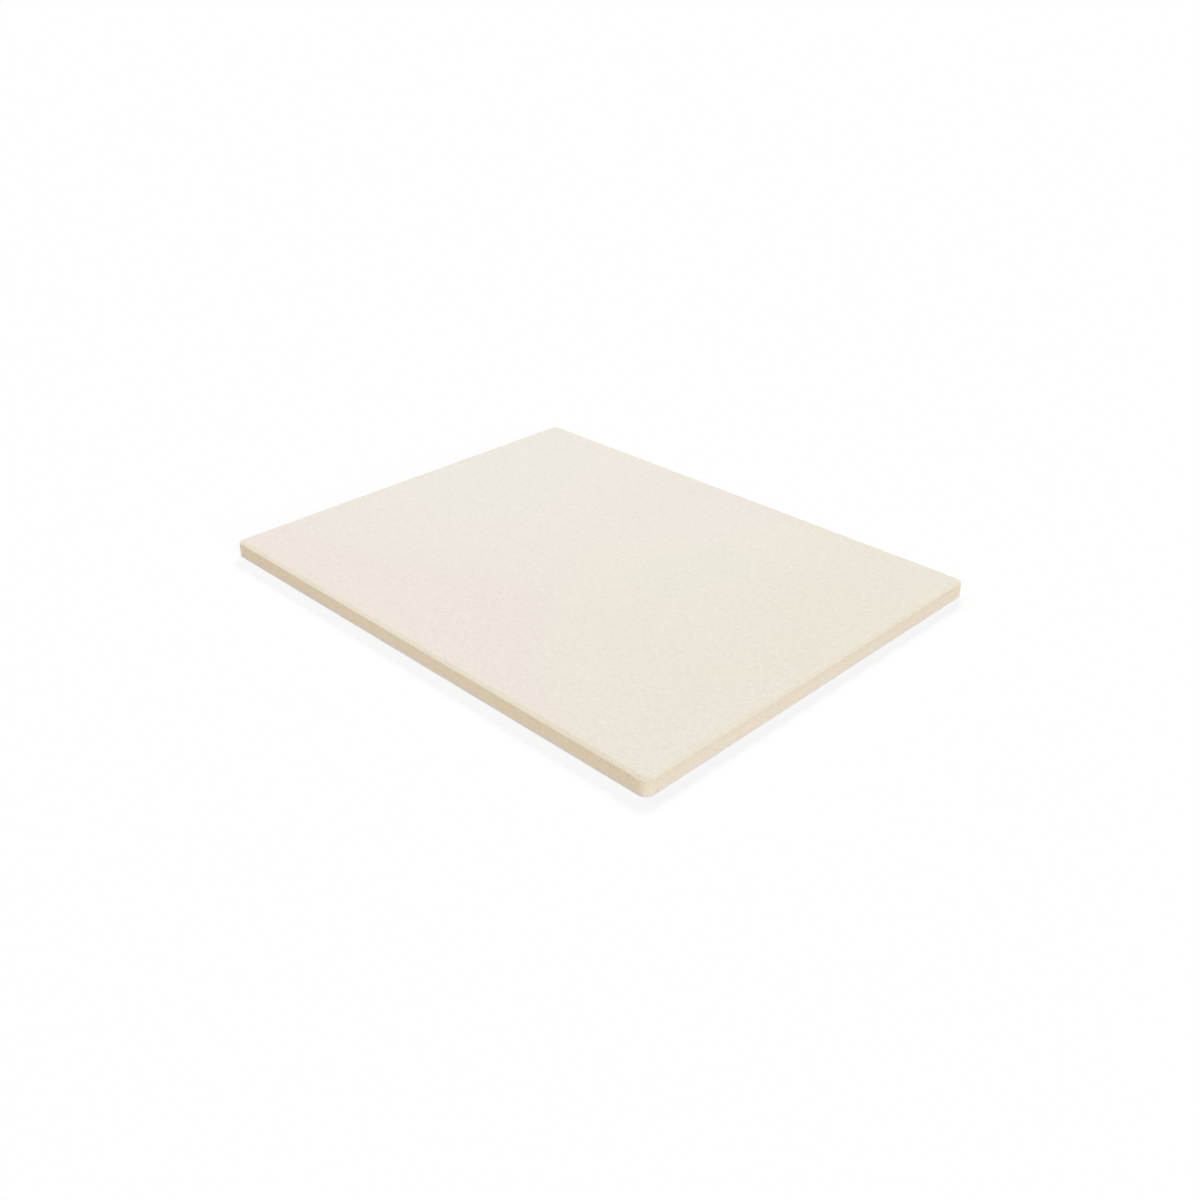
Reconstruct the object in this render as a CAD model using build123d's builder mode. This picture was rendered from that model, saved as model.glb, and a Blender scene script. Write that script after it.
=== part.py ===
from build123d import *
from math import atan2, degrees
import os

# A pizza stone: one plain slab of cordierite, pressed in a mould and fired.
# All lengths are in millimetres. The origin is the middle of the underside, +X runs along
# the long side, +Y along the short side, and +Z points up out of the baking face.

# Driving dimensions

# The slab is widest at its foot, where these sizes are taken.
slab_length = 450.0
slab_width = 353.0
slab_thickness = 13.0
corner_radius = 7.0

# The walls lean in towards the top by this many degrees, so that the slab slips out of its mould.
wall_draft_angle = 2.0

# A broad, shallow bevel keeps the rim of the baking face from chipping.
bevel_inset = 3.0
bevel_drop = 1.6

# The edges are eased, most of all where dough and peel slide over the rim.
face_edge_radius = 1.5
shoulder_edge_radius = 1.0
foot_edge_radius = 0.5

# Derived sizes
shoulder_height = slab_thickness - bevel_drop
bevel_draft_angle = degrees(atan2(bevel_inset, bevel_drop))

# The slab
# A rounded rectangle rises from the foot to the shoulder at the wall's draft, and from there
# to the baking face at the bevel's. Both drafts shrink the corners about the same centres, so
# that the bevel keeps its width all the way round.
with BuildPart() as stone_slab:
    with BuildSketch():
        RectangleRounded(slab_length, slab_width, corner_radius)
    extrude(amount=shoulder_height, taper=wall_draft_angle)
    shoulder_face = stone_slab.faces().sort_by(Axis.Z)[-1]
    extrude(shoulder_face, amount=bevel_drop, taper=bevel_draft_angle)

    # Counted up from the foot, the edges lie in five levels: the foot's ring, the corner
    # seams of the wall, the shoulder's ring, the corner seams of the bevel and the ring of
    # the baking face. The rings are eased from the top down, so that the count still holds.
    fillet(stone_slab.edges().group_by(Axis.Z)[4], face_edge_radius)
    fillet(stone_slab.edges().group_by(Axis.Z)[2], shoulder_edge_radius)
    fillet(stone_slab.edges().group_by(Axis.Z)[0], foot_edge_radius)
stone_slab.part.label = "stone_slab"

os.makedirs("parts", exist_ok=True)
export_step(stone_slab.part, "parts/stone_slab.step")

overall = stone_slab.part.bounding_box().size
print(f"stone slab {overall.X:.1f} x {overall.Y:.1f} x {overall.Z:.1f} mm")
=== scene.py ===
# %% [markdown]
# # A pizza stone
# The real object is one slab of cordierite, a pale ceramic that is pressed in a mould, fired and
# left unglazed. There is little to draw, so everything depends on three things: the exact rim,
# a surface that reads as fired clay from close by and from afar, and soft light on a white floor.
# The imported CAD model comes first, as the frame that everything else is measured from.

from math import atan2, cos, degrees, pi, radians, sin, tan

import bpy
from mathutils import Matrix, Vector


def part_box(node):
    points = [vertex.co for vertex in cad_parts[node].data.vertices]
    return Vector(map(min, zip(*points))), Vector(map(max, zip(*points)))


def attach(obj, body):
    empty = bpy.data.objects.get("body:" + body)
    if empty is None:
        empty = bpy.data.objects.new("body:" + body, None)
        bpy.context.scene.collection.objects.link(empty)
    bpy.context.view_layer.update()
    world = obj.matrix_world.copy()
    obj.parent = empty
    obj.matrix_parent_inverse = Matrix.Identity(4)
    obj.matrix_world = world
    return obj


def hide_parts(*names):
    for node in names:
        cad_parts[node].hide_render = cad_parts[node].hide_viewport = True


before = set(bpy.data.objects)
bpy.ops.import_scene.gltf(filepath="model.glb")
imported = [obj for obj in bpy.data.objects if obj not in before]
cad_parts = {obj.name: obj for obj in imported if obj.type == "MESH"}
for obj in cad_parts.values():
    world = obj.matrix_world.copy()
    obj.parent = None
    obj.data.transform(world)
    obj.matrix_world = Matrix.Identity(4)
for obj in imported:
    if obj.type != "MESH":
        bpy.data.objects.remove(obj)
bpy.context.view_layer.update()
slab_low, slab_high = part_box("stone_slab")

# %% [markdown]
# ## The camera
# A photograph of a flat rectangle tells where its camera stood: the two pairs of parallel edges
# meet at two vanishing points, and these fix the focal length and the tilt. The numbers here come
# from that construction, refined on the whole outline of the slab. Blender measures a lens
# against the sensor's width, so the focal length in pixels is scaled by sensor over picture.

# %% Place the camera
picture_size_px = 1200
focal_length_px = 1275.6
sensor_width_mm = 36.0
camera_place = (0.6268, -0.6197, 0.4696)
camera_tilt_down = radians(29.22)
camera_turn = radians(44.81)
camera_reach = 50.0

camera_data = bpy.data.cameras.new("camera")
camera_data.sensor_width = sensor_width_mm
camera_data.lens = focal_length_px / picture_size_px * sensor_width_mm
camera_data.clip_end = camera_reach
camera = bpy.data.objects.new("camera", camera_data)
camera.location = camera_place
camera.rotation_euler = (pi / 2 - camera_tilt_down, 0.0, camera_turn)
bpy.context.scene.collection.objects.link(camera)
bpy.context.scene.camera = camera
print(f"lens {camera_data.lens:.2f} mm")

# %% [markdown]
# ## Trees and nodes
# Shapes and finishes below are node trees. They could be drawn by hand in the editor, but a script
# builds them the same way each time. Written out one call at a time it is long, so two small
# helpers keep it readable: one makes a tree with named inputs and outputs, and the other adds a
# node and fills its inputs, each with a number or with another node's output.

# %% Helpers for trees and nodes
def new_tree(name, kind, inputs, outputs):
    """An empty tree with named sockets, and the sockets of its input and output nodes."""
    tree = bpy.data.node_groups.new(name, kind)
    for socket_name, socket_type in inputs:
        tree.interface.new_socket(socket_name, in_out="INPUT", socket_type=socket_type)
    for socket_name, socket_type in outputs:
        tree.interface.new_socket(socket_name, in_out="OUTPUT", socket_type=socket_type)
    given = tree.nodes.new("NodeGroupInput").outputs
    wanted = tree.nodes.new("NodeGroupOutput").inputs
    return tree, given, wanted


def add(tree, kind, inputs=None, **settings):
    """One more node: settings are its properties, and inputs maps its sockets to values."""
    node = tree.nodes.new(kind)
    for name, value in settings.items():
        setattr(node, name, value)
    for key, value in (inputs or {}).items():
        if isinstance(value, bpy.types.NodeSocket):
            tree.links.new(value, node.inputs[key])
        else:
            node.inputs[key].default_value = value
    return node


print("helpers for trees:", new_tree.__name__, add.__name__)

# %% [markdown]
# ## Sums, vectors and soft steps
# Most nodes do plain arithmetic, so each common step gets a short name of its own: a sum of
# numbers, a sum of vectors, three numbers joined into a vector, and a ramp, which turns a
# distance or a noise into a mask. The ramp is a smooth step and not a straight one, because on
# the real stone no tone and no wear begins or ends in a line.

# %% Helpers for sums
def calc(tree, operation, *values):
    """The output of one Math node."""
    return add(tree, "ShaderNodeMath", dict(enumerate(values)), operation=operation).outputs[0]


def vector_calc(tree, operation, *values, out="Vector"):
    """An output of one Vector Math node."""
    node = add(tree, "ShaderNodeVectorMath", dict(enumerate(values)), operation=operation)
    return node.outputs[out]


def vector(tree, x=0.0, y=0.0, z=0.0):
    """Three numbers joined into one vector."""
    return add(tree, "ShaderNodeCombineXYZ", {"X": x, "Y": y, "Z": z}).outputs[0]


def ramp(tree, value, start, end, low=0.0, high=1.0):
    """Goes softly from low to high while the value goes from start to end."""
    sockets = {"Value": value, "From Min": start, "From Max": end, "To Min": low, "To Max": high}
    return add(tree, "ShaderNodeMapRange", sockets, interpolation_type="SMOOTHSTEP").outputs[0]


sum_helpers = [calc, vector_calc, vector, ramp]
print("helpers for sums:", ", ".join(helper.__name__ for helper in sum_helpers))

# %% [markdown]
# ## The slab's sizes
# The outer sizes are read from the frame, so the slab always fills the CAD model's box. The small
# sizes of the rim repeat the CAD model's: the wall leans in by two degrees, a shallow bevel runs
# round the baking face, and each edge is eased by its own radius.

# %% Sizes of the slab
slab_length = slab_high[0] - slab_low[0]
slab_width = slab_high[1] - slab_low[1]
slab_thickness = slab_high[2] - slab_low[2]
corner_radius = 0.0070
wall_draft_angle = radians(2.0)
bevel_inset = 0.0030
bevel_drop = 0.0016
face_edge_radius = 0.0015
shoulder_edge_radius = 0.0010
foot_edge_radius = 0.0005
wall_lean = (slab_thickness - bevel_drop) * tan(wall_draft_angle)
face_edge_in = wall_lean + bevel_inset
print(f"slab {slab_length:.4f} x {slab_width:.4f} x {slab_thickness:.4f} m")
print(f"the wall leans in by {1000 * wall_lean:.2f} mm")
print(f"the face starts {1000 * face_edge_in:.1f} mm in from the foot")

# %% [markdown]
# ## Points that know their number
# The rim's section is a line of a few points, and each point has a place and a radius of its own.
# Both could be typed in by hand, but then no size could change later. Index Switch looks a value
# up by the point's number instead, so places and radii stay formulas. A second field tells how
# far it is from a point to the next one, which shows where a straight has to be cut.

# %% Values by the number of the point
def choose(tree, values, data_type):
    """Picks one of several values by the number of the point."""
    switch = add(tree, "GeometryNodeIndexSwitch", data_type=data_type)
    while len(switch.index_switch_items) < len(values):
        switch.index_switch_items.new()
    number = add(tree, "GeometryNodeInputIndex").outputs[0]
    tree.links.new(number, switch.inputs["Index"])
    for place, value in enumerate(values):
        socket = switch.inputs[place + 1]
        if isinstance(value, bpy.types.NodeSocket):
            tree.links.new(value, socket)
        else:
            socket.default_value = value
    return switch.outputs[0]


def way_to_next_point(tree):
    """How far it is from each point of a line to the next one."""
    here = add(tree, "GeometryNodeInputPosition").outputs[0]
    number = add(tree, "GeometryNodeInputIndex").outputs[0]
    next_number = calc(tree, "ADD", number, 1.0)
    there = add(tree, "GeometryNodeFieldAtIndex", data_type="FLOAT_VECTOR", domain="POINT")
    tree.links.new(here, there.inputs["Value"])
    tree.links.new(next_number, there.inputs["Index"])
    return vector_calc(tree, "DISTANCE", here, there.outputs[0], out="Value")


print("helpers for points:", choose.__name__, way_to_next_point.__name__)

# %% [markdown]
# ## The rim's section
# Cut through, the rim is a line with three corners: the edge of the face, the shoulder and the
# foot. Each point is given by how far in it lies from the foot, and how high. Fillet Curve rounds
# the corners, each by its own radius. Subdivide Curve then cuts every straight that is longer
# than a step, so that the wall has points enough to be worn. The half turn at the end suits Curve
# to Mesh, which lays a section's X outwards and its Y down.

# %% Section of the rim
def rim_section(tree, size):
    """The rounded line from the baking face over the bevel and down the wall to the underside."""
    bevel_end = calc(tree, "ADD", size["Wall Lean"], size["Bevel Inset"])
    flat_end = calc(tree, "ADD", bevel_end, size["Flat Margin"])
    shoulder_up = calc(tree, "SUBTRACT", size["Thickness"], size["Bevel Drop"])
    points = [
        vector(tree, flat_end, size["Thickness"]),
        vector(tree, bevel_end, size["Thickness"]),
        vector(tree, size["Wall Lean"], shoulder_up),
        vector(tree, 0.0, 0.0),
        vector(tree, size["Flat Margin"], 0.0),
    ]
    radii = [
        0.0,
        size["Face Edge Radius"],
        size["Shoulder Edge Radius"],
        size["Foot Edge Radius"],
        0.0,
    ]
    line = add(tree, "GeometryNodeMeshLine", {"Count": len(points)})
    placed = add(tree, "GeometryNodeSetPosition", {
        "Geometry": line.outputs[0],
        "Position": choose(tree, points, "VECTOR"),
    })
    curve = add(tree, "GeometryNodeMeshToCurve", {"Mesh": placed.outputs[0]})
    rounded = add(tree, "GeometryNodeFilletCurve", {
        "Curve": curve.outputs[0],
        "Count": size["Edge Steps"],
        "Radius": choose(tree, radii, "FLOAT"),
    }, mode="POLY")
    steps = calc(tree, "DIVIDE", way_to_next_point(tree), size["Section Step"])
    cut = add(tree, "GeometryNodeSubdivideCurve", {
        "Curve": rounded.outputs[0],
        "Cuts": calc(tree, "FLOOR", steps),
    })
    turned = add(tree, "GeometryNodeTransform", {
        "Geometry": cut.outputs[0],
        "Rotation": (0.0, 0.0, pi),
    })
    return turned.outputs[0]


bevel_slope = atan2(bevel_drop, bevel_inset)
print(f"the wall leans in by {degrees(wall_draft_angle):.0f} degrees")
print(f"the bevel slopes by {degrees(bevel_slope):.0f} degrees")

# %% [markdown]
# ## The outline of the foot
# A picture framer makes a frame by running one moulding round the picture. The rim is made the
# same way: Curve to Mesh carries the section round the outline of the foot, so the bevel keeps
# its width at the corners, as it does on the real stone. A box with a Bevel modifier would be
# quicker, but its edges would all be eased alike. The outline is a rounded rectangle, cut into
# even steps, so that the wear finds points everywhere.

# %% Outline of the foot
corner_steps = 24


def foot_outline(tree, size):
    """The rounded rectangle that the slab covers, in even steps."""
    rectangle = add(tree, "GeometryNodeCurvePrimitiveQuadrilateral", {
        "Width": size["Length"],
        "Height": size["Width"],
    })
    rounded = add(tree, "GeometryNodeFilletCurve", {
        "Curve": rectangle.outputs[0],
        "Count": corner_steps,
        "Radius": size["Corner Radius"],
    }, mode="POLY")
    even = add(tree, "GeometryNodeResampleCurve", {
        "Curve": rounded.outputs[0],
        "Length": size["Outline Step"],
    }, mode="LENGTH")
    upright = add(tree, "GeometryNodeSetCurveNormal", {"Curve": even.outputs[0]}, mode="Z_UP")
    return upright.outputs[0]


straight_sides = 2.0 * (slab_length + slab_width - 4.0 * corner_radius)
print(f"the foot is {straight_sides + 2.0 * pi * corner_radius:.3f} m round")

# %% [markdown]
# ## Baking face and underside
# The rim alone is a ring with two open edges, one at the baking face and one at the underside.
# Each becomes a curve again, and Fill Curve closes it with a flat face. An edge is open where
# only one face uses it, and its height tells which of the two it is. The underside's face is
# flipped, because it has to look down.

# %% Two flat faces
faces_at_open_edge = 1.0
count_tolerance = 0.1


def closing_face(tree, rim, size, height, is_top):
    """A flat face inside the rim's upper or lower open edge."""
    uses = add(tree, "GeometryNodeInputMeshEdgeNeighbors").outputs[0]
    position = add(tree, "GeometryNodeInputPosition").outputs[0]
    up = add(tree, "ShaderNodeSeparateXYZ", {0: position}).outputs["Z"]
    is_open = calc(tree, "COMPARE", uses, faces_at_open_edge, count_tolerance)
    is_high = calc(tree, "GREATER_THAN", up, calc(tree, "MULTIPLY", size["Thickness"], 0.5))
    is_wanted = is_high if is_top else calc(tree, "SUBTRACT", 1.0, is_high)
    edge = add(tree, "GeometryNodeMeshToCurve", {
        "Mesh": rim,
        "Selection": calc(tree, "MULTIPLY", is_open, is_wanted),
    })
    face = add(tree, "GeometryNodeFillCurve", {"Curve": edge.outputs[0]}, mode="TRIANGLES")
    lifted = add(tree, "GeometryNodeTransform", {
        "Geometry": face.outputs[0],
        "Translation": vector(tree, 0.0, 0.0, height),
    })
    if is_top:
        return lifted.outputs[0]
    return add(tree, "GeometryNodeFlipFaces", {"Mesh": lifted.outputs[0]}).outputs[0]


face_length = slab_length - 2.0 * face_edge_in
face_width = slab_width - 2.0 * face_edge_in
print(f"the baking face is {face_length:.3f} x {face_width:.3f} m")

# %% [markdown]
# ## Noise
# Nothing about a fired stone is quite even, and one helper gives all of its unevenness: a cloudy
# number that is read at a point's own place, with patches of a given size. The seed shifts the
# whole pattern, so that no two uses are alike, and more detail puts finer patches into the broad
# ones. Read by place, the pattern needs no map and has no seam.

# %% Noise by place
plain_detail = 0.0
some_detail = 1.0
rich_detail = 2.0


def noise(tree, place, size, detail, seed, out=0):
    """Cloudy numbers round a half, with patches of about the given size."""
    shifted = vector_calc(tree, "ADD", place, vector(tree, seed, seed, seed))
    node = add(tree, "ShaderNodeTexNoise", {
        "Vector": shifted,
        "Scale": calc(tree, "DIVIDE", 1.0, size),
        "Detail": detail,
    })
    return node.outputs[out]


print("details of noise:", plain_detail, some_detail, rich_detail)

# %% [markdown]
# ## What firing and use do to the rim
# A pressed rim is never as straight as its drawing. Clay shrinks unevenly in the kiln, so the
# wall wavers by less than a tenth of a millimetre, and the shoulder and the foot lose grains
# wherever the stone is knocked. Both only ever take material away, so the slab still fits the
# space that the CAD model gives it. They could be sculpted, but noise gives both all the way
# round, and a mask by height keeps the nibbles on the edges and the two flat faces flat.

# %% Unevenness of the rim
wear_inputs = {
    "Wave Size": 0.016,
    "Wave Depth": 0.00010,
    "Nibble Size": 0.0035,
    "Nibble Depth": 0.00030,
    "Seed": 3.0,
}
shoulder_reach = 0.0012
foot_reach = (0.0004, 0.0016)
foot_nibble_share = 0.6
flat_guard = 0.0004
nibbled_noise = (0.53, 0.70)


def take_away(tree, slab, size):
    """Moves the rim's points inwards, by waves and by nibbles."""
    place = add(tree, "GeometryNodeInputPosition").outputs[0]
    normal = add(tree, "GeometryNodeInputNormal").outputs[0]
    up = add(tree, "ShaderNodeSeparateXYZ", {0: place}).outputs["Z"]
    under_face = calc(tree, "SUBTRACT", size["Thickness"], up)
    shoulder_gap = calc(tree, "ABSOLUTE", calc(tree, "SUBTRACT", under_face, size["Bevel Drop"]))
    near_shoulder = ramp(tree, shoulder_gap, 0.0, shoulder_reach, 1.0, 0.0)
    near_foot = ramp(tree, up, *foot_reach, foot_nibble_share, 0.0)
    near_edge = calc(tree, "MAXIMUM", near_shoulder, near_foot)
    off_face = ramp(tree, under_face, 0.0, flat_guard)
    off_foot = ramp(tree, up, 0.0, flat_guard)
    on_rim = calc(tree, "MULTIPLY", off_face, off_foot)

    waves = noise(tree, place, size["Wave Size"], rich_detail, size["Seed"])
    wave_depth = calc(tree, "MULTIPLY", waves, size["Wave Depth"])
    crumbs = noise(tree, place, size["Nibble Size"], some_detail, size["Seed"])
    nibbled = calc(tree, "MULTIPLY", ramp(tree, crumbs, *nibbled_noise), near_edge)
    nibble_depth = calc(tree, "MULTIPLY", nibbled, size["Nibble Depth"])
    depth = calc(tree, "MULTIPLY", calc(tree, "ADD", wave_depth, nibble_depth), on_rim)
    inwards = add(tree, "ShaderNodeVectorMath", {
        0: normal,
        "Scale": calc(tree, "MULTIPLY", depth, -1.0),
    }, operation="SCALE")
    return add(tree, "GeometryNodeSetPosition", {
        "Geometry": slab,
        "Offset": inwards.outputs[0],
    }).outputs[0]


deepest_wear = wear_inputs["Wave Depth"] + wear_inputs["Nibble Depth"]
print(f"the rim loses {1000 * deepest_wear:.1f} mm at most")

# %% [markdown]
# ## The tree that makes the slab
# All sizes are inputs of the tree, so another stone is a matter of other numbers. Merge by
# Distance welds the faces to the rim, and the whole slab is shaded smooth, because its edges are
# truly rounded and need no sharp shading.

# %% Build the slab's tree
slab_inputs = {
    "Length": slab_length,
    "Width": slab_width,
    "Thickness": slab_thickness,
    "Corner Radius": corner_radius,
    "Wall Lean": wall_lean,
    "Bevel Inset": bevel_inset,
    "Bevel Drop": bevel_drop,
    "Face Edge Radius": face_edge_radius,
    "Shoulder Edge Radius": shoulder_edge_radius,
    "Foot Edge Radius": foot_edge_radius,
    "Flat Margin": 0.0024,
    "Outline Step": 0.0010,
    "Section Step": 0.0008,
    "Edge Steps": 7,
    **wear_inputs,
}
weld_distance = 0.00002
socket_types = {int: "NodeSocketInt", float: "NodeSocketFloat"}
slab_tree, size, made = new_tree(
    "Pressed slab",
    "GeometryNodeTree",
    [(name, socket_types[type(value)]) for name, value in slab_inputs.items()]
    + [("Material", "NodeSocketMaterial")],
    [("Geometry", "NodeSocketGeometry")],
)
rim = add(slab_tree, "GeometryNodeCurveToMesh", {
    "Curve": foot_outline(slab_tree, size),
    "Profile Curve": rim_section(slab_tree, size),
}).outputs[0]
baking_face = closing_face(slab_tree, rim, size, size["Thickness"], is_top=True)
underside = closing_face(slab_tree, rim, size, 0.0, is_top=False)
joined = add(slab_tree, "GeometryNodeJoinGeometry")
for shape in (rim, baking_face, underside):
    slab_tree.links.new(shape, joined.inputs[0])
welded = add(slab_tree, "GeometryNodeMergeByDistance", {
    "Geometry": joined.outputs[0],
    "Distance": weld_distance,
}).outputs[0]
worn = take_away(slab_tree, welded, size)
smooth = add(slab_tree, "GeometryNodeSetShadeSmooth", {"Geometry": worn}).outputs[0]
whole = add(slab_tree, "GeometryNodeRealizeInstances", {"Geometry": smooth}).outputs[0]
finished = add(slab_tree, "GeometryNodeSetMaterial", {
    "Geometry": whole,
    "Material": size["Material"],
}).outputs[0]
slab_tree.links.new(finished, made["Geometry"])
print("slab tree", len(slab_tree.nodes), "nodes")

# %% [markdown]
# ## Where on the slab a point is
# The rim, the wall and the face differ in tone, and each tone keeps its distance from the edge.
# Vertex colours or a painted mask could hold it, but they would be only as fine as the mesh or
# the picture. A group works the distance out from the point's own place instead, as one draws a
# rounded rectangle: straight across to a side, or from a corner's centre. The core that it
# measures from reaches far above the slab, so height plays no part in that distance.

# %% Distance from the foot's outline
above_the_slab = 1.0


def rim_place_group():
    """How far in from the foot's outline a point lies, and how high, in metres."""
    tree, given, wanted = new_tree(
        "Place on the rim",
        "ShaderNodeTree",
        [(name, "NodeSocketFloat") for name in ("Length", "Width", "Corner Radius")],
        [("Inset", "NodeSocketFloat"), ("Height", "NodeSocketFloat")],
    )
    place = add(tree, "ShaderNodeTexCoord").outputs["Object"]
    far = vector_calc(tree, "ABSOLUTE", place)
    half = calc(tree, "MULTIPLY", given["Length"], 0.5), calc(tree, "MULTIPLY", given["Width"], 0.5)
    core = [calc(tree, "SUBTRACT", side, given["Corner Radius"]) for side in half]
    beyond = vector_calc(tree, "SUBTRACT", far, vector(tree, *core, above_the_slab))
    outside = vector_calc(tree, "MAXIMUM", beyond, (0.0, 0.0, 0.0))
    parts = add(tree, "ShaderNodeSeparateXYZ", {0: beyond}).outputs
    nearest = calc(tree, "MINIMUM", calc(tree, "MAXIMUM", parts["X"], parts["Y"]), 0.0)
    out = calc(tree, "ADD", vector_calc(tree, "LENGTH", outside, out="Value"), nearest)
    tree.links.new(calc(tree, "SUBTRACT", given["Corner Radius"], out), wanted["Inset"])
    height = add(tree, "ShaderNodeSeparateXYZ", {0: place}).outputs["Z"]
    tree.links.new(height, wanted["Height"])
    return tree


rim_place = rim_place_group()
print("group", rim_place.name)

# %% [markdown]
# ## Fired grain
# Cordierite bodies are pressed from clay with crushed fired clay in it, so up close the surface is
# sand: grains under a millimetre, each a touch lighter or darker, with a finer tooth, and from
# further off a faint mottle. A photograph of clay would show its edges and repeat, so the grain
# is a pattern. Noise alone looks like fog, while a cell pattern gives grains. Its cells are bent
# by a little noise, so that no grain is a neat polygon. The distance to a cell's middle paints
# shade into the gaps between grains and leaves their middles lighter, and it also raises the
# middles in the bump. Bend, tooth and mottle have sizes of their own, as shares of the grain's.

# %% Grain group
bend_size_share = 0.8
tooth_size_share = 0.4
mottle_size_share = 8.0
grain_against_tooth = 0.6
crevice_shade_against_tooth = 0.8
crown_against_tooth = 0.5
usual_distance = 0.55


def grain_group():
    """A tone that multiplies the colour, with painted shade in the gaps between grains, and a
    height in metres for the bump.
    """
    tree, given, wanted = new_tree(
        "Fired grain",
        "ShaderNodeTree",
        [(name, "NodeSocketFloat") for name in ("Grain Size", "Tone", "Mottle", "Relief", "Seed")],
        [("Tone", "NodeSocketFloat"), ("Height", "NodeSocketFloat")],
    )
    place = add(tree, "ShaderNodeTexCoord").outputs["Object"]
    grain_size, seed = given["Grain Size"], given["Seed"]
    bend_size, tooth_size, mottle_size = [
        calc(tree, "MULTIPLY", grain_size, share)
        for share in (bend_size_share, tooth_size_share, mottle_size_share)
    ]
    bend = noise(tree, place, bend_size, plain_detail, seed, "Color")
    centred = vector_calc(tree, "SUBTRACT", bend, (0.5, 0.5, 0.5))
    bent = add(tree, "ShaderNodeVectorMath", {0: centred, "Scale": grain_size}, operation="SCALE")
    cells = add(tree, "ShaderNodeTexVoronoi", {
        "Vector": vector_calc(tree, "ADD", place, bent.outputs[0]),
        "Scale": calc(tree, "DIVIDE", 1.0, grain_size),
    }).outputs
    chance = add(tree, "ShaderNodeSeparateColor", {0: cells["Color"]}).outputs[0]
    tooth = noise(tree, place, tooth_size, rich_detail, seed)
    mottle = noise(tree, place, mottle_size, rich_detail, seed)

    grains = calc(tree, "MULTIPLY", calc(tree, "SUBTRACT", chance, 0.5), grain_against_tooth)
    # painted shade: the gaps between grains darker, their middles lighter
    crown = calc(tree, "SUBTRACT", usual_distance, cells["Distance"])
    crevice_shade = calc(tree, "MULTIPLY", crown, crevice_shade_against_tooth)
    coarse = calc(tree, "ADD", grains, crevice_shade)
    fine = calc(tree, "ADD", coarse, calc(tree, "SUBTRACT", tooth, 0.5))
    broad = calc(tree, "MULTIPLY", calc(tree, "SUBTRACT", mottle, 0.5), given["Mottle"])
    spread = calc(tree, "ADD", calc(tree, "MULTIPLY", fine, given["Tone"]), broad)
    tree.links.new(calc(tree, "ADD", spread, 1.0), wanted["Tone"])

    height = calc(tree, "ADD", calc(tree, "MULTIPLY", crown, crown_against_tooth), tooth)
    tree.links.new(calc(tree, "MULTIPLY", height, given["Relief"]), wanted["Height"])
    return tree


grain = grain_group()
print("group", grain.name)

# %% [markdown]
# ## Pinholes and flecks
# Gas leaves fine pinholes in fired clay, and some of the larger pale grains lie at the surface.
# Spots could be set one by one, but there are thousands of them. A cell pattern scatters both
# kinds instead: each cell has one round spot, solid at its core and soft outside it, and a random
# number of its own says whether it is there and how strong it is, so the spots are never in rows.

# %% Speck group
solid_core = 0.5


def speck_group():
    """A mask of scattered round specks, each with its own strength."""
    tree, given, wanted = new_tree(
        "Scattered specks",
        "ShaderNodeTree",
        [(name, "NodeSocketFloat") for name in ("Spacing", "Speck Size", "Share", "Seed")],
        [("Mask", "NodeSocketFloat")],
    )
    place = add(tree, "ShaderNodeTexCoord").outputs["Object"]
    shift = vector(tree, given["Seed"], given["Seed"], given["Seed"])
    cells = add(tree, "ShaderNodeTexVoronoi", {
        "Vector": vector_calc(tree, "ADD", place, shift),
        "Scale": calc(tree, "DIVIDE", 1.0, given["Spacing"]),
    })
    away = calc(tree, "MULTIPLY", cells.outputs["Distance"], given["Spacing"])
    radius = calc(tree, "MULTIPLY", given["Speck Size"], 0.5)
    dot = ramp(tree, away, calc(tree, "MULTIPLY", radius, solid_core), radius, 1.0, 0.0)
    chance = add(tree, "ShaderNodeSeparateColor", {0: cells.outputs["Color"]}).outputs[0]
    absent = calc(tree, "SUBTRACT", 1.0, given["Share"])
    strength = ramp(tree, chance, absent, 1.0)
    tree.links.new(calc(tree, "MULTIPLY", dot, strength), wanted["Mask"])
    return tree


specks = speck_group()
print("group", specks.name)

# %% [markdown]
# ## Broad clouds of tint
# The colour of the stone drifts by a shade over a hand's width, here a little rosier, there a
# little yellower, and on the wall a deeper tan. One broad noise goes softly from one tint to
# another, and the tint multiplies the colour. The seeds were tried out, so that the clouds lie
# where the stone is rosier, yellower and deeper tan. A Mix node keeps a pair of sockets for each
# kind of value, and they share their names, so its two colours and their result are found by
# number.

# %% Cloud group
cloud_noise = (0.3, 0.7)
first_colour, second_colour, mixed_colour = 6, 7, 2


def mix_colours(tree, share, first, second, blend_type="MIX"):
    """The second colour laid over the first one by its share."""
    sockets = {"Factor": share, first_colour: first, second_colour: second}
    node = add(tree, "ShaderNodeMix", sockets, data_type="RGBA", blend_type=blend_type)
    return node.outputs[mixed_colour]


def cloud_group():
    """A tint that drifts between two colours over the slab."""
    tree, given, wanted = new_tree(
        "Clouds of tint",
        "ShaderNodeTree",
        [("Cloud Size", "NodeSocketFloat"), ("Seed", "NodeSocketFloat")]
        + [("Low Tint", "NodeSocketColor"), ("High Tint", "NodeSocketColor")],
        [("Tint", "NodeSocketColor")],
    )
    place = add(tree, "ShaderNodeTexCoord").outputs["Object"]
    drift = noise(tree, place, given["Cloud Size"], some_detail, given["Seed"])
    share = ramp(tree, drift, *cloud_noise)
    tint = mix_colours(tree, share, given["Low Tint"], given["High Tint"])
    tree.links.new(tint, wanted["Tint"])
    return tree


clouds = cloud_group()
print("group", clouds.name)
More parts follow.
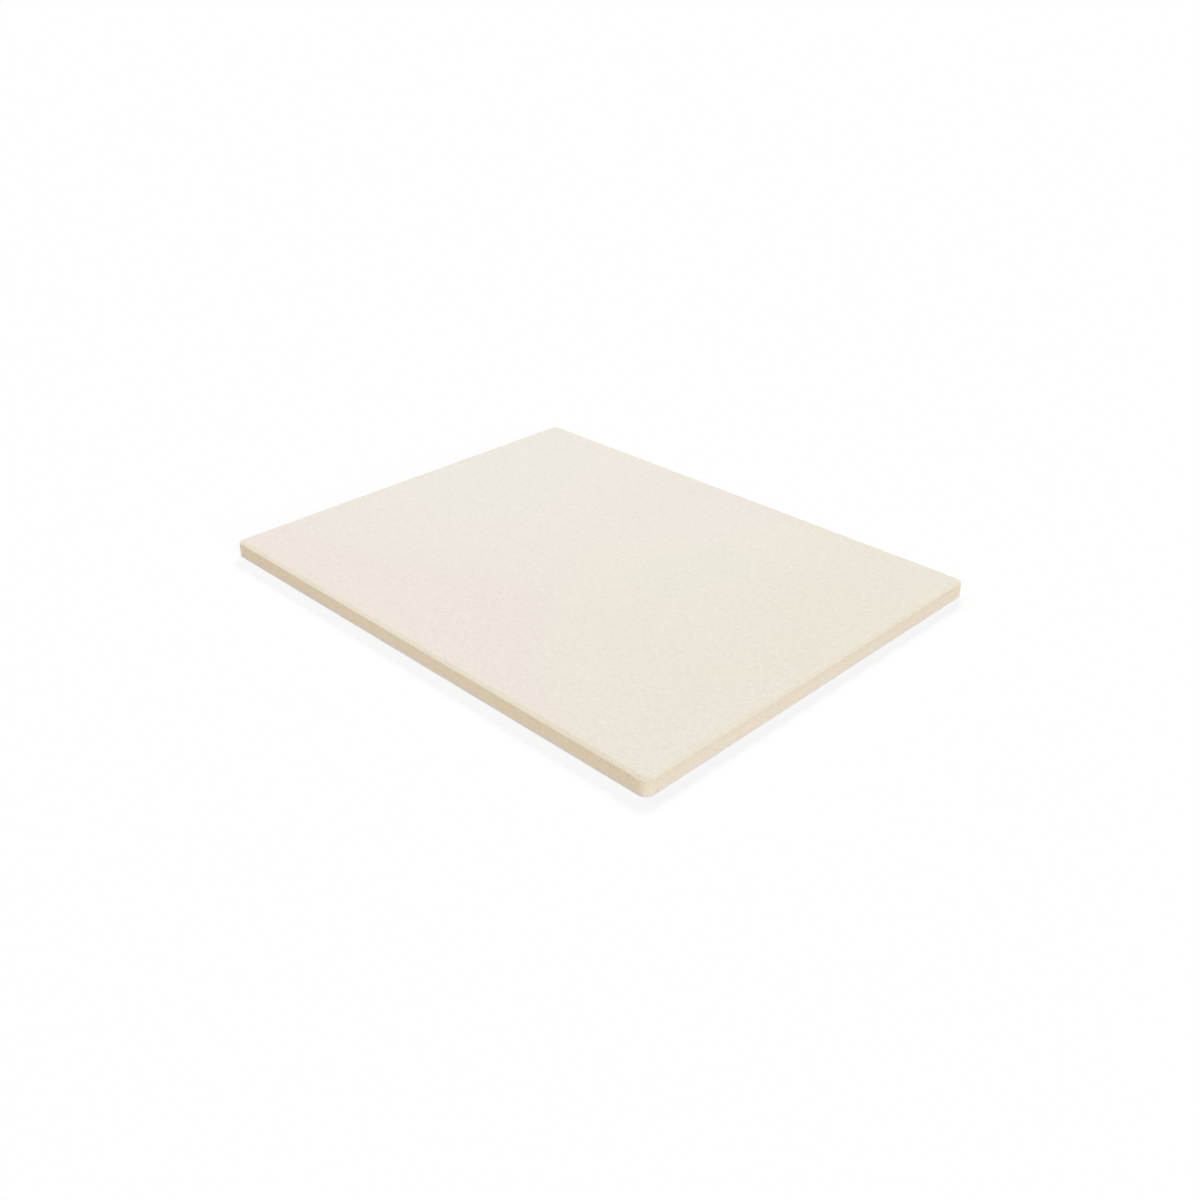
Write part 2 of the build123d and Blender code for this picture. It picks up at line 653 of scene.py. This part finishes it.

# %% [markdown]
# ## Tones of fired cordierite
# It is one clay throughout, but pressing and firing divide it into zones. The face has the least
# colour, because the mould's plate draws the finest slip to it, and it turns a shade browner just
# inside its edge. The bevel is a light straw. The wall shows the tan body itself, browner up at
# the shoulder and paler at the foot, where the paler tone is partly painted light from the table.
# Each tone is written as shares of red, green and blue, and so is each tint, which multiplies a
# tone.

# %% Tones and tints
face_tone = (0.839, 0.809, 0.734)
edge_tone = (0.843, 0.778, 0.686)
bevel_tone = (0.891, 0.834, 0.715)
wall_tone = (0.876, 0.769, 0.603)
shoulder_tone = (0.829, 0.733, 0.584)
# the foot's paler tone is partly painted light from the table
foot_tone_and_table_light = (0.867, 0.799, 0.686)
fleck_tone = (0.880, 0.850, 0.790)
# the pinholes' dark tone is painted shade inside them
pinhole_shade_tone = (0.480, 0.360, 0.230)

no_tint = (1.000, 1.000, 1.000)
rosy_tint = (1.000, 0.953, 0.961)
yellow_tint = (0.975, 1.000, 0.958)
straw_tint = (0.962, 0.946, 0.908)
tan_tint = (0.960, 0.950, 0.935)
print(f"the wall is {sum(wall_tone) / sum(face_tone):.2f} times as light as the face")

# %% [markdown]
# ## One tone over another
# The zones of the stone run into one another, as fine slip thins out over coarser clay. Each
# finish below therefore makes the same moves: it places a group with values of its own, lays one
# colour or number over another by a share that may change from point to point, and tints a colour
# by the kiln's clouds. Separate materials for face and wall would meet in a hard line instead.

# %% Helpers for materials
first_number, second_number = 2, 3


def place_group(tree, group, values):
    """One of the groups above in a material, with its own values."""
    node = add(tree, "ShaderNodeGroup", node_tree=group)
    for name, value in values.items():
        node.inputs[name].default_value = value
    return node.outputs


def mix_numbers(tree, share, first, second):
    """The second number in place of the first one by its share."""
    sockets = {"Factor": share, first_number: first, second_number: second}
    return add(tree, "ShaderNodeMix", sockets).outputs[0]


def tinted(tree, colour, cloud_size, seed, low_tint, high_tint):
    """A colour under broad clouds of tint, which go from the low tint to the high one."""
    tint = place_group(tree, clouds, {
        "Cloud Size": cloud_size,
        "Seed": seed,
        "Low Tint": (*low_tint, 1.0),
        "High Tint": (*high_tint, 1.0),
    })["Tint"]
    return mix_colours(tree, 1.0, colour, tint, blend_type="MULTIPLY")


material_helpers = [place_group, mix_numbers, tinted]
print("helpers for materials:", ", ".join(helper.__name__ for helper in material_helpers))

# %% [markdown]
# ## Colour of the face and the bevel
# The face carries two clouds, a rosy one and a yellow one. The bevel is lighter than the face and
# takes no rosy shade, but where the face is yellow it goes on to straw, so it reads the same noise
# with a stronger tint. Each zone meets the next one over half a millimetre or more, never in a
# line.

# %% Face and bevel
edge_band = 0.0040
bevel_blend = (face_edge_in - 0.0007, face_edge_in + 0.0005)
rosy_clouds = {"cloud_size": 0.36, "seed": 237.5}
yellow_clouds = {"cloud_size": 0.42, "seed": 110.78}


def face_colour(tree, inset):
    """The colour of all that lies above the shoulder."""
    off_edge = ramp(tree, inset, face_edge_in, face_edge_in + edge_band)
    off_bevel = ramp(tree, inset, *bevel_blend)
    face = (*face_tone, 1.0)
    face = tinted(tree, face, **rosy_clouds, low_tint=no_tint, high_tint=rosy_tint)
    face = mix_colours(tree, off_edge, (*edge_tone, 1.0), face)
    face = tinted(tree, face, **yellow_clouds, low_tint=yellow_tint, high_tint=no_tint)
    bevel = (*bevel_tone, 1.0)
    bevel = tinted(tree, bevel, **yellow_clouds, low_tint=straw_tint, high_tint=no_tint)
    return mix_colours(tree, off_bevel, bevel, face)


print(f"the face turns browner over the last {1000 * edge_band:.0f} mm before the bevel")

# %% [markdown]
# ## Colour of the wall
# The wall's tones lie in bands, one above the other, so they go by height, and the pale band at
# the foot is partly painted light from the table. Its own cloud makes part of it a deeper tan. The
# inset and the height together tell the wall from the bevel, and the underside goes on in the
# paler tone of the foot.

# %% Wall
foot_band = (0.0012, 0.0055)
shoulder_band = (0.45 * slab_thickness, 0.85 * slab_thickness)
wall_blend = (wall_lean, wall_lean + 0.0006)
foot_blend = (0.0002, 0.0012)
wall_clouds = {"cloud_size": 0.20, "seed": 176.12}


def wall_colour(tree, height):
    """The colour of the wall from the foot to the shoulder, with painted table light at the foot.
    """
    to_shoulder = ramp(tree, height, *shoulder_band)
    # partly painted light from the table: paler toward the foot
    to_table_lit_foot = ramp(tree, height, *foot_band, 1.0, 0.0)
    wall = mix_colours(tree, to_shoulder, (*wall_tone, 1.0), (*shoulder_tone, 1.0))
    wall = mix_colours(tree, to_table_lit_foot, wall, (*foot_tone_and_table_light, 1.0))
    return tinted(tree, wall, **wall_clouds, low_tint=tan_tint, high_tint=no_tint)


def off_the_wall(tree, where):
    """One on the bevel and the face, and nought on the wall and the underside."""
    above_wall = ramp(tree, where["Inset"], *wall_blend)
    above_foot = ramp(tree, where["Height"], *foot_blend)
    return calc(tree, "MULTIPLY", above_wall, above_foot)


print(f"the wall's foot is paler up to {1000 * foot_band[1]:.1f} mm")

# %% [markdown]
# ## Sand, flecks and pinholes
# The wall rubs along the mould and comes out sandier than the face, so each has its own grain,
# and the mask of the zone mixes the two. Flecks and pinholes lie everywhere alike, and half of
# the places that they could take are empty. A pinhole is a hollow, so its depth is part of the
# bump, and its dark spot is painted shade inside the hollow.

# %% Finish of the surface
face_sand = {"Grain Size": 0.00045, "Tone": 0.145, "Mottle": 0.125, "Relief": 0.00008, "Seed": 1.7}
wall_sand = {"Grain Size": 0.00050, "Tone": 0.33, "Mottle": 0.05, "Relief": 0.00012, "Seed": 8.2}
fleck_spots = {"Spacing": 0.0050, "Speck Size": 0.0018, "Share": 0.5, "Seed": 6.3}
pinhole_spots = {"Spacing": 0.0035, "Speck Size": 0.0006, "Share": 0.5, "Seed": 4.1}
fleck_strength = 0.35
pinhole_shade_strength = 0.30
pinhole_depth = 0.00012


def sand(tree, off_wall):
    """The tone and the height of the grain, for the zone that a point is in."""
    on_face = place_group(tree, grain, face_sand)
    on_wall = place_group(tree, grain, wall_sand)
    tone = mix_numbers(tree, off_wall, on_wall["Tone"], on_face["Tone"])
    height = mix_numbers(tree, off_wall, on_wall["Height"], on_face["Height"])
    return tone, height


print(f"grains of {1000 * face_sand['Grain Size']:.2f} mm on the face")
print(f"grains of {1000 * wall_sand['Grain Size']:.2f} mm on the wall")

# %% [markdown]
# ## The finished material
# The parts come together in one Principled shader. Unglazed clay scatters light all ways, so its
# roughness stays near one and is lowest on the paler grains. The grain is too fine to be modelled
# and becomes a bump. Nothing here depends on where the light or the camera stands, so the stone
# keeps its looks in any other room.

# %% Cordierite material
relief_strength = 0.7
grain_tones = (0.95, 1.05)
grain_roughness = (0.95, 0.86)


def cordierite_material():
    """The one finish of the slab."""
    material = bpy.data.materials.new("fired cordierite")
    material.use_nodes = True
    tree = material.node_tree
    shader = tree.nodes["Principled BSDF"]
    where = place_group(tree, rim_place, {
        "Length": slab_length,
        "Width": slab_width,
        "Corner Radius": corner_radius,
    })
    off_wall = off_the_wall(tree, where)
    sand_tone, sand_height = sand(tree, off_wall)
    flecks = place_group(tree, specks, fleck_spots)["Mask"]
    pinholes = place_group(tree, specks, pinhole_spots)["Mask"]

    wall = wall_colour(tree, where["Height"])
    face = face_colour(tree, where["Inset"])
    body = mix_colours(tree, off_wall, wall, face)
    fleck_share = calc(tree, "MULTIPLY", flecks, fleck_strength)
    flecked = mix_colours(tree, fleck_share, body, (*fleck_tone, 1.0))
    # painted shade inside the pinholes
    pinhole_shade_share = calc(tree, "MULTIPLY", pinholes, pinhole_shade_strength)
    pitted = mix_colours(tree, pinhole_shade_share, flecked, (*pinhole_shade_tone, 1.0))
    sanded = add(tree, "ShaderNodeVectorMath", {0: pitted, "Scale": sand_tone}, operation="SCALE")
    tree.links.new(sanded.outputs[0], shader.inputs["Base Color"])

    hollow = calc(tree, "MULTIPLY", pinholes, pinhole_depth)
    bump = add(tree, "ShaderNodeBump", {
        "Distance": 1.0,
        "Strength": relief_strength,
        "Height": calc(tree, "SUBTRACT", sand_height, hollow),
    })
    tree.links.new(bump.outputs[0], shader.inputs["Normal"])
    roughness = ramp(tree, sand_tone, *grain_tones, *grain_roughness)
    tree.links.new(roughness, shader.inputs["Roughness"])
    return material


cordierite = cordierite_material()
print("material", cordierite.name, len(cordierite.node_tree.nodes), "nodes")

# %% [markdown]
# ## From tree to plain mesh
# The modifier is only a maker: its result is copied into a plain mesh, and the object that held
# the modifier is thrown away. Its inputs are set by their identifiers, because names may repeat.
# The new piece stands in for the CAD slab, which stays on for collisions, and rides on the one
# body that the object has.

# %% Make the slab
def make_piece(name, tree, values):
    """A plain mesh object from a tree and its values."""
    holder = bpy.data.objects.new(name, bpy.data.meshes.new(name))
    bpy.context.scene.collection.objects.link(holder)
    modifier = holder.modifiers.new("maker", "NODES")
    modifier.node_group = tree
    for socket in tree.interface.items_tree:
        if socket.in_out == "INPUT":
            modifier[socket.identifier] = values[socket.name]
    seen = holder.evaluated_get(bpy.context.evaluated_depsgraph_get())
    mesh = bpy.data.meshes.new_from_object(seen)
    bpy.data.objects.remove(holder)
    piece = bpy.data.objects.new(name, mesh)
    bpy.context.scene.collection.objects.link(piece)
    return piece


slab = make_piece("pressed_slab", slab_tree, slab_inputs | {"Material": cordierite})
slab.data.calc_loop_triangles()
print("slab", len(slab.data.vertices), "points,", len(slab.data.loop_triangles), "triangles")
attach(slab, "root")
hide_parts("stone_slab")

# %% [markdown]
# ## What only the camera sees
# Floor and room have to look white, but light from them that strong would wash the stone out. A
# Light Path node tells one kind of ray from another, so both can show more to the camera than
# they send to the stone. Rays off gloss and through glass count as the camera's too.

# %% Rays of the camera
def camera_sees(tree):
    """One for the rays that end in the camera's picture, and nought for those that light."""
    rays = add(tree, "ShaderNodeLightPath").outputs
    straight_or_gloss = calc(tree, "MAXIMUM", rays["Is Camera Ray"], rays["Is Glossy Ray"])
    return calc(tree, "MAXIMUM", straight_or_gloss, rays["Is Transmission Ray"])


print("helper for rays:", camera_sees.__name__)

# %% [markdown]
# ## Floor
# The stone lies on a plain white table that has no end and no corner, as in a catalogue picture.
# The floor is matt white and takes the stone's soft shadow. For the camera two thirds of its
# white shine by themselves, and the lamps add the rest, so that it is pure white wherever the
# light is full and the shadow stays pale. A little more of the blue shines than of the red, which
# keeps the shadow from turning brown beside a tan wall. The shining part is for the camera alone
# and puts no light on the stone.

# %% White floor
floor_half_size = 10.0
floor_drop = 0.00005
floor_white = (0.80, 0.80, 0.80)
floor_shine = (0.615, 0.67, 0.71)


def floor_material():
    """Matt white, which partly shines for the camera."""
    material = bpy.data.materials.new("white table")
    material.use_nodes = True
    tree = material.node_tree
    tree.nodes.clear()
    plain = add(tree, "ShaderNodeBsdfDiffuse", {"Color": (*floor_white, 1.0)})
    rest = [1.0 - part for part in floor_shine]
    lit = add(tree, "ShaderNodeBsdfDiffuse", {"Color": (*rest, 1.0)})
    shine = add(tree, "ShaderNodeEmission", {"Color": (*floor_shine, 1.0), "Strength": 1.0})
    both = add(tree, "ShaderNodeAddShader", {0: lit.outputs[0], 1: shine.outputs[0]})
    shaders = {"Fac": camera_sees(tree), 1: plain.outputs[0], 2: both.outputs[0]}
    either = add(tree, "ShaderNodeMixShader", shaders)
    add(tree, "ShaderNodeOutputMaterial", {"Surface": either.outputs[0]})
    return material


floor_mesh = bpy.data.meshes.new("table_top")
corners = [(-1, -1), (1, -1), (1, 1), (-1, 1)]
floor_points = [(x * floor_half_size, y * floor_half_size, -floor_drop) for x, y in corners]
floor_mesh.from_pydata(floor_points, [], [(0, 1, 2, 3)])
floor_mesh.materials.append(floor_material())
table_top = bpy.data.objects.new("table_top", floor_mesh)
bpy.context.scene.collection.objects.link(table_top)
print("floor", 2 * floor_half_size, "m square")

# %% [markdown]
# ## Room
# A pale stone on a white table is lit softly from all round, as inside a light tent. The world
# stands in for the tent: it gives a little under half of the light, the same from every side, and
# the camera sees it as plain white.

# %% White room
room_white = (1.00, 1.00, 1.00, 1.00)
room_strength = 0.440


def light_room(strength):
    """An even room, which shows as white."""
    world = bpy.data.worlds.new("white room")
    bpy.context.scene.world = world
    world.use_nodes = True
    tree = world.node_tree
    tree.nodes.clear()
    lights = add(tree, "ShaderNodeBackground", {"Color": room_white, "Strength": strength})
    shows = add(tree, "ShaderNodeBackground", {"Color": room_white, "Strength": 1.0})
    shaders = {"Fac": camera_sees(tree), 1: lights.outputs[0], 2: shows.outputs[0]}
    either = add(tree, "ShaderNodeMixShader", shaders)
    add(tree, "ShaderNodeOutputWorld", {"Surface": either.outputs[0]})


light_room(room_strength)
print(f"the room gives {room_strength:.2f} of the light")

# %% [markdown]
# ## Lamps
# Four broad lamps give the rest of the light. The key comes from the right and is slightly cool,
# so the right wall is the brighter one. A small warm lamp in front deepens the tan of the left
# wall. One lamp from the left keeps the face even, and one from behind throws the thin shadow
# along the near edges that sets the stone on the table. With the room they add up to one on a
# level surface, and to white, so the face renders about as its colour is written. Area lamps
# would fall off over the table, so Sun lamps are used, which light stone and table evenly.

# %% Lamps
def light_from(name, azimuth, elevation, level, width, tint):
    """A distant lamp, by angles in degrees. Its level is what it adds to a level white surface."""
    up = radians(elevation)
    round_the_table = radians(azimuth)
    lamp = bpy.data.lights.new(name, "SUN")
    lamp.energy = level * pi / sin(up)
    lamp.angle = radians(width)
    lamp.color = tint
    holder = bpy.data.objects.new(name, lamp)
    towards = Vector((cos(up) * cos(round_the_table), cos(up) * sin(round_the_table), sin(up)))
    holder.rotation_euler = towards.to_track_quat("Z", "Y").to_euler()
    bpy.context.scene.collection.objects.link(holder)
    print(f"{name}: energy {lamp.energy:.2f}")


light_from("key", azimuth=-10, elevation=28, level=0.203, width=40, tint=(0.84, 0.88, 1.00))
light_from("warm_fill", azimuth=-75, elevation=28, level=0.056, width=40, tint=(1.00, 0.68, 0.05))
light_from("side", azimuth=185, elevation=42, level=0.110, width=30, tint=(0.90, 0.92, 1.00))
light_from("back", azimuth=127, elevation=35.5, level=0.235, width=12, tint=(1.00, 1.00, 1.00))

# %% [markdown]
# ## Hand over
# The picture is shown by the Standard view, which changes no colour.

# %% Finish
bpy.context.scene.view_settings.view_transform = "Standard"
